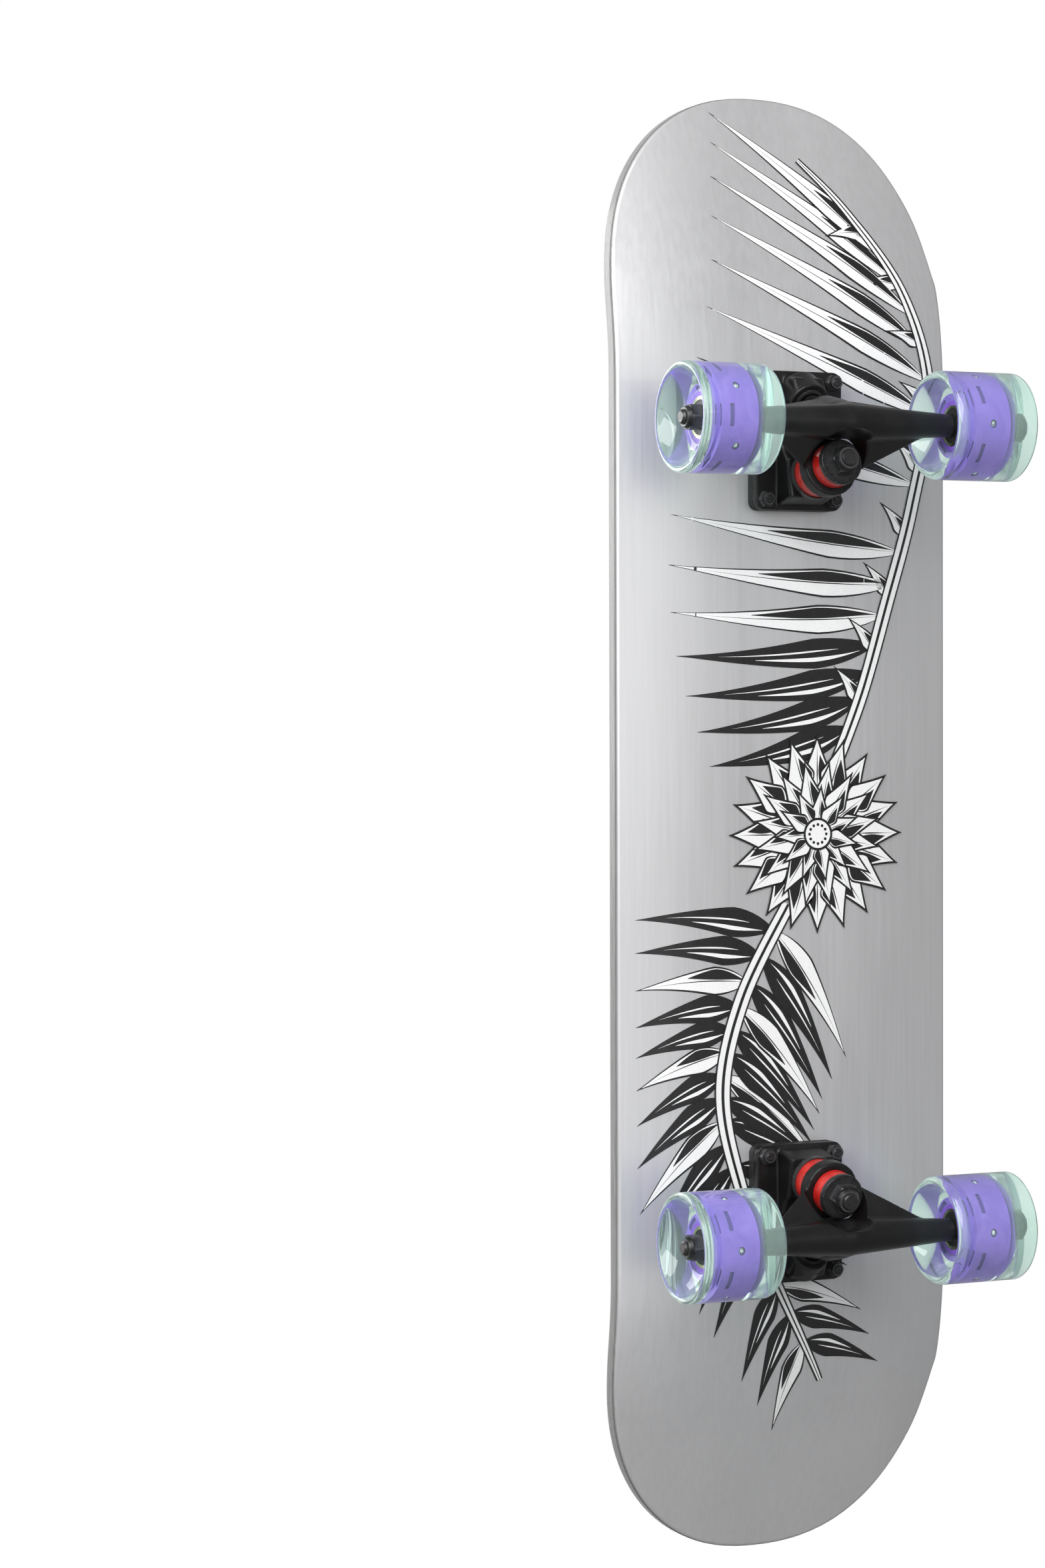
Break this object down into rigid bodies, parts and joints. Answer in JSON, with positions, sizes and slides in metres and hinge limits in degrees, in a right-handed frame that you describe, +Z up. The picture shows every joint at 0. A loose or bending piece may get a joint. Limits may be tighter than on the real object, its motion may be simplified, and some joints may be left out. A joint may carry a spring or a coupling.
{
  "type": "skateboard",
  "caption": "Popsicle-shaped skateboard with concave kicked deck, grip tape, sprung kingpin trucks and clear urethane wheels with a light-up core.",
  "frame": {"origin": "on the ground midway between the four wheels, under the middle of the deck", "axes": "+X along the board towards the nose, +Y towards the left rail, +Z up; the board stands on its wheels"},
  "size_m": [0.8, 0.203, 0.1433],
  "materials": {
    "deck": "silver lacquer over maple, with a printed underside",
    "grip": "coarse abrasive grit",
    "black_steel": "black oxide steel, satin",
    "riser": "matte moulded rubber",
    "truck_alloy": "cast aluminium, satin black powder coat",
    "pivot_urethane": "black urethane",
    "bushing": "cast red urethane, semi-gloss",
    "axle_steel": "dark oiled steel, turned",
    "tyre_urethane": "clear cast urethane with a pale green tint",
    "core_plastic": "moulded violet plastic",
    "led": "clear epoxy lamps on a small circuit ring",
    "bearing_steel": "polished bearing steel",
    "shield": "black rubber seal",
    "magnet": "dull ferrite"
  },
  "bodies": {
    "board": {"deck": "deck", "grip_tape": "grip", "mounting_bolts": "black_steel", "mounting_nuts": "black_steel", "front_riser_pad": "riser", "front_baseplate": "truck_alloy", "front_pivot_cup": "pivot_urethane", "front_kingpin": "black_steel", "front_kingpin_nut": "black_steel", "front_road_cup_washer": "black_steel", "front_cone_bushing": "bushing", "front_barrel_bushing": "bushing", "front_board_cup_washer": "black_steel", "rear_riser_pad": "riser", "rear_baseplate": "truck_alloy", "rear_pivot_cup": "pivot_urethane", "rear_kingpin": "black_steel", "rear_kingpin_nut": "black_steel", "rear_road_cup_washer": "black_steel", "rear_cone_bushing": "bushing", "rear_barrel_bushing": "bushing", "rear_board_cup_washer": "black_steel"},
    "front_hanger": {"front_hanger": "truck_alloy", "front_axle": "axle_steel", "front_speed_rings": "axle_steel", "front_axle_nuts": "black_steel", "front_bearing_inner_races": "bearing_steel", "front_magnet_spacers": "magnet"},
    "front_left_wheel": {"front_left_wheel_tyre": "tyre_urethane", "front_left_wheel_core": "core_plastic", "front_left_wheel_led_module": "led", "front_left_wheel_bearing_outer_races": "bearing_steel", "front_left_wheel_bearing_shields": "shield"},
    "front_left_balls": {"front_left_wheel_bearing_balls": "bearing_steel"},
    "front_right_wheel": {"front_right_wheel_tyre": "tyre_urethane", "front_right_wheel_core": "core_plastic", "front_right_wheel_led_module": "led", "front_right_wheel_bearing_outer_races": "bearing_steel", "front_right_wheel_bearing_shields": "shield"},
    "front_right_balls": {"front_right_wheel_bearing_balls": "bearing_steel"},
    "rear_hanger": {"rear_hanger": "truck_alloy", "rear_axle": "axle_steel", "rear_speed_rings": "axle_steel", "rear_axle_nuts": "black_steel", "rear_bearing_inner_races": "bearing_steel", "rear_magnet_spacers": "magnet"},
    "rear_left_wheel": {"rear_left_wheel_tyre": "tyre_urethane", "rear_left_wheel_core": "core_plastic", "rear_left_wheel_led_module": "led", "rear_left_wheel_bearing_outer_races": "bearing_steel", "rear_left_wheel_bearing_shields": "shield"},
    "rear_left_balls": {"rear_left_wheel_bearing_balls": "bearing_steel"},
    "rear_right_wheel": {"rear_right_wheel_tyre": "tyre_urethane", "rear_right_wheel_core": "core_plastic", "rear_right_wheel_led_module": "led", "rear_right_wheel_bearing_outer_races": "bearing_steel", "rear_right_wheel_bearing_shields": "shield"},
    "rear_right_balls": {"rear_right_wheel_bearing_balls": "bearing_steel"}
  },
  "joints": [
    {"name": "front_steer", "type": "hinge", "parent": "board", "child": "front_hanger", "pos_m": [0.19194, 0, 0.05058], "axis": [0.8413, 0, 0.5406], "range_deg": [-15, 15], "stiffness_Nm_per_rad": 40, "deforming": ["front_barrel_bushing", "front_cone_bushing"]},
    {"name": "rear_steer", "type": "hinge", "parent": "board", "child": "rear_hanger", "pos_m": [-0.19194, 0, 0.05058], "axis": [0.8413, 0, -0.5406], "range_deg": [-15, 15], "stiffness_Nm_per_rad": 40, "deforming": ["rear_barrel_bushing", "rear_cone_bushing"]},
    {"name": "front_left_wheel_spin", "type": "hinge", "parent": "front_hanger", "child": "front_left_wheel", "pos_m": [0.2148, 0.0756, 0.029], "axis": [0, 1, 0], "continuous": true},
    {"name": "front_left_ball_spin", "type": "hinge", "parent": "front_hanger", "child": "front_left_balls", "pos_m": [0.2148, 0.0756, 0.029], "axis": [0, 1, 0], "continuous": true},
    {"name": "front_right_wheel_spin", "type": "hinge", "parent": "front_hanger", "child": "front_right_wheel", "pos_m": [0.2148, -0.0756, 0.029], "axis": [0, 1, 0], "continuous": true},
    {"name": "front_right_ball_spin", "type": "hinge", "parent": "front_hanger", "child": "front_right_balls", "pos_m": [0.2148, -0.0756, 0.029], "axis": [0, 1, 0], "continuous": true},
    {"name": "rear_left_wheel_spin", "type": "hinge", "parent": "rear_hanger", "child": "rear_left_wheel", "pos_m": [-0.2148, 0.0756, 0.029], "axis": [0, 1, 0], "continuous": true},
    {"name": "rear_left_ball_spin", "type": "hinge", "parent": "rear_hanger", "child": "rear_left_balls", "pos_m": [-0.2148, 0.0756, 0.029], "axis": [0, 1, 0], "continuous": true},
    {"name": "rear_right_wheel_spin", "type": "hinge", "parent": "rear_hanger", "child": "rear_right_wheel", "pos_m": [-0.2148, -0.0756, 0.029], "axis": [0, 1, 0], "continuous": true},
    {"name": "rear_right_ball_spin", "type": "hinge", "parent": "rear_hanger", "child": "rear_right_balls", "pos_m": [-0.2148, -0.0756, 0.029], "axis": [0, 1, 0], "continuous": true}
  ],
  "couplings": [
    {"joint": "front_left_ball_spin", "follows": "front_left_wheel_spin", "ratio": 0.62829},
    {"joint": "front_right_ball_spin", "follows": "front_right_wheel_spin", "ratio": 0.62829},
    {"joint": "rear_left_ball_spin", "follows": "rear_left_wheel_spin", "ratio": 0.62829},
    {"joint": "rear_right_ball_spin", "follows": "rear_right_wheel_spin", "ratio": 0.62829}
  ]
}
